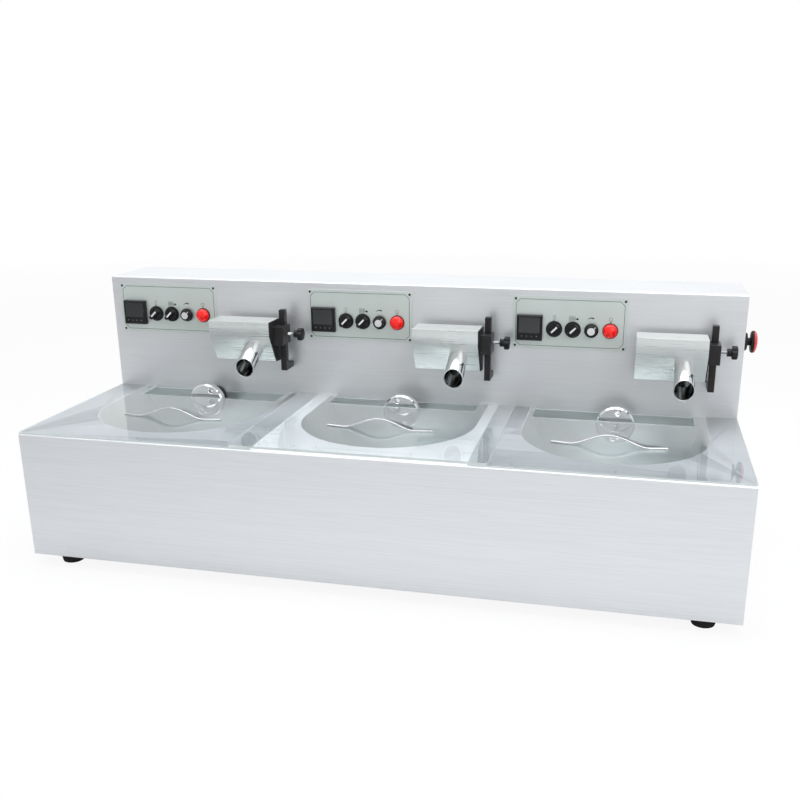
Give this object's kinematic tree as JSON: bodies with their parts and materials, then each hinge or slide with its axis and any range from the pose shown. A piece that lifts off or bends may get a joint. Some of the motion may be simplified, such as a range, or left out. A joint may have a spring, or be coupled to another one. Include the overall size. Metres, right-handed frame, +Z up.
{
  "type": "chocolate tempering machine",
  "caption": "Long stainless bench machine with heated tanks under clear sliding lids, wheel hubs, scraper boxes with pouring spouts on clamps, and a control plate for each station.",
  "frame": {"origin": "middle of the bounding box at the level of the surface that the rubber feet stand on", "axes": "+X to the right along the length, +Y to the back, +Z up; the controls and spouts face -Y"},
  "size_m": [1.229, 0.513, 0.464],
  "materials": {
    "housing_steel": "brushed stainless sheet, grain running along the length",
    "tank_steel": "satin stainless pan",
    "scraper_steel": "satin folded stainless",
    "polished_steel": "mirror-polished stainless",
    "screw_steel": "plain steel screw heads",
    "dark_screw": "blackened screw heads",
    "lid_clear": "clear glossy sheet with polished edges",
    "plate_aluminium": "pale matt anodised plate",
    "black_plastic": "satin black plastic",
    "grey_plastic": "grey plastic",
    "clamp_black": "satin black coating",
    "lamp_red": "translucent red lens",
    "stop_red": "red plastic",
    "rubber": "black rubber",
    "motor_paint": "grey enamel",
    "bearing_plastic": "white low-friction plastic",
    "heater_silicone": "silicone heating mat"
  },
  "bodies": {
    "machine": {"base_shell": "housing_steel", "base_plate": "housing_steel", "back_shell": "housing_steel", "rear_panel": "housing_steel", "rear_panel_screws": "screw_steel", "rubber_feet": "rubber", "foot_screws": "screw_steel", "cable_gland": "black_plastic", "tank_1": "tank_steel", "tank_2": "tank_steel", "tank_3": "tank_steel", "tank_heaters": "heater_silicone", "gearmotors": "motor_paint", "shaft_bearings": "bearing_plastic", "control_plates": "plate_aluminium", "control_plate_screws": "dark_screw", "temperature_controllers": "black_plastic", "control_bezels": "black_plastic", "pilot_lamps": "lamp_red", "switch_blocks": "grey_plastic", "clamp_bars": "clamp_black", "stop_collar": "black_plastic"},
    "lid_body_1": {"lid_1": "lid_clear", "lid_handle_1": "polished_steel", "lid_screws_1": "screw_steel"},
    "hub_body_1": {"wheel_hub_1": "polished_steel"},
    "scraper_body_1": {"scraper_box_1": "scraper_steel", "spout_1": "polished_steel", "clamp_block_1": "clamp_black"},
    "thumbscrew_body_1": {"thumbscrew_1": "black_plastic"},
    "heat_selector_body_1": {"heat_selector_1": "black_plastic"},
    "motor_selector_body_1": {"motor_selector_1": "black_plastic"},
    "speed_knob_body_1": {"speed_knob_1": "black_plastic"},
    "lid_body_2": {"lid_2": "lid_clear", "lid_handle_2": "polished_steel", "lid_screws_2": "screw_steel"},
    "hub_body_2": {"wheel_hub_2": "polished_steel"},
    "scraper_body_2": {"scraper_box_2": "scraper_steel", "spout_2": "polished_steel", "clamp_block_2": "clamp_black"},
    "thumbscrew_body_2": {"thumbscrew_2": "black_plastic"},
    "heat_selector_body_2": {"heat_selector_2": "black_plastic"},
    "motor_selector_body_2": {"motor_selector_2": "black_plastic"},
    "speed_knob_body_2": {"speed_knob_2": "black_plastic"},
    "lid_body_3": {"lid_3": "lid_clear", "lid_handle_3": "polished_steel", "lid_screws_3": "screw_steel"},
    "hub_body_3": {"wheel_hub_3": "polished_steel"},
    "scraper_body_3": {"scraper_box_3": "scraper_steel", "spout_3": "polished_steel", "clamp_block_3": "clamp_black"},
    "thumbscrew_body_3": {"thumbscrew_3": "black_plastic"},
    "heat_selector_body_3": {"heat_selector_3": "black_plastic"},
    "motor_selector_body_3": {"motor_selector_3": "black_plastic"},
    "speed_knob_body_3": {"speed_knob_3": "black_plastic"},
    "stop_plunger": {"stop_stem": "grey_plastic"},
    "stop_head": {"stop_cap": "stop_red"}
  },
  "joints": [
    {"name": "lid_pull_1", "type": "slide", "parent": "machine", "child": "lid_body_1", "axis": [0, -1, 0], "range_m": [0, 0.25]},
    {"name": "hub_spin_1", "type": "hinge", "parent": "machine", "child": "hub_body_1", "pos_m": [-0.4045, 0.0305, 0.234], "axis": [0, -1, 0], "continuous": true},
    {"name": "scraper_lift_1", "type": "slide", "parent": "machine", "child": "scraper_body_1", "axis": [0, 0, 1], "range_m": [-0.04, 0.028]},
    {"name": "thumbscrew_turn_1", "type": "hinge", "parent": "scraper_body_1", "child": "thumbscrew_body_1", "pos_m": [-0.2245, 0.0545, 0.37], "axis": [1, 0, 0], "range_deg": [-180, 180]},
    {"name": "heat_switch_1", "type": "hinge", "parent": "machine", "child": "heat_selector_body_1", "pos_m": [-0.5225, 0.0853, 0.393], "axis": [0, -1, 0], "range_deg": [0, 90]},
    {"name": "motor_switch_1", "type": "hinge", "parent": "machine", "child": "motor_selector_body_1", "pos_m": [-0.4895, 0.0853, 0.393], "axis": [0, -1, 0], "range_deg": [0, 90]},
    {"name": "speed_dial_1", "type": "hinge", "parent": "machine", "child": "speed_knob_body_1", "pos_m": [-0.4565, 0.0853, 0.393], "axis": [0, -1, 0], "range_deg": [-135, 135]},
    {"name": "lid_pull_2", "type": "slide", "parent": "machine", "child": "lid_body_2", "axis": [0, -1, 0], "range_m": [0, 0.25]},
    {"name": "hub_spin_2", "type": "hinge", "parent": "machine", "child": "hub_body_2", "pos_m": [-0.0145, 0.0305, 0.234], "axis": [0, -1, 0], "continuous": true},
    {"name": "scraper_lift_2", "type": "slide", "parent": "machine", "child": "scraper_body_2", "axis": [0, 0, 1], "range_m": [-0.04, 0.028]},
    {"name": "thumbscrew_turn_2", "type": "hinge", "parent": "scraper_body_2", "child": "thumbscrew_body_2", "pos_m": [0.1655, 0.0545, 0.37], "axis": [1, 0, 0], "range_deg": [-180, 180]},
    {"name": "heat_switch_2", "type": "hinge", "parent": "machine", "child": "heat_selector_body_2", "pos_m": [-0.1325, 0.0853, 0.393], "axis": [0, -1, 0], "range_deg": [0, 90]},
    {"name": "motor_switch_2", "type": "hinge", "parent": "machine", "child": "motor_selector_body_2", "pos_m": [-0.0995, 0.0853, 0.393], "axis": [0, -1, 0], "range_deg": [0, 90]},
    {"name": "speed_dial_2", "type": "hinge", "parent": "machine", "child": "speed_knob_body_2", "pos_m": [-0.0665, 0.0853, 0.393], "axis": [0, -1, 0], "range_deg": [-135, 135]},
    {"name": "lid_pull_3", "type": "slide", "parent": "machine", "child": "lid_body_3", "axis": [0, -1, 0], "range_m": [0, 0.25]},
    {"name": "hub_spin_3", "type": "hinge", "parent": "machine", "child": "hub_body_3", "pos_m": [0.3755, 0.0305, 0.234], "axis": [0, -1, 0], "continuous": true},
    {"name": "scraper_lift_3", "type": "slide", "parent": "machine", "child": "scraper_body_3", "axis": [0, 0, 1], "range_m": [-0.04, 0.028]},
    {"name": "thumbscrew_turn_3", "type": "hinge", "parent": "scraper_body_3", "child": "thumbscrew_body_3", "pos_m": [0.5555, 0.0545, 0.37], "axis": [1, 0, 0], "range_deg": [-180, 180]},
    {"name": "heat_switch_3", "type": "hinge", "parent": "machine", "child": "heat_selector_body_3", "pos_m": [0.2575, 0.0853, 0.393], "axis": [0, -1, 0], "range_deg": [0, 90]},
    {"name": "motor_switch_3", "type": "hinge", "parent": "machine", "child": "motor_selector_body_3", "pos_m": [0.2905, 0.0853, 0.393], "axis": [0, -1, 0], "range_deg": [0, 90]},
    {"name": "speed_dial_3", "type": "hinge", "parent": "machine", "child": "speed_knob_body_3", "pos_m": [0.3235, 0.0853, 0.393], "axis": [0, -1, 0], "range_deg": [-135, 135]},
    {"name": "stop_press", "type": "slide", "parent": "machine", "child": "stop_plunger", "axis": [-1, 0, 0], "range_m": [0, 0.005]},
    {"name": "stop_twist", "type": "hinge", "parent": "stop_plunger", "child": "stop_head", "pos_m": [0.5855, 0.1565, 0.37], "axis": [1, 0, 0], "range_deg": [0, 45], "stiffness_Nm_per_rad": 0.05}
  ]
}
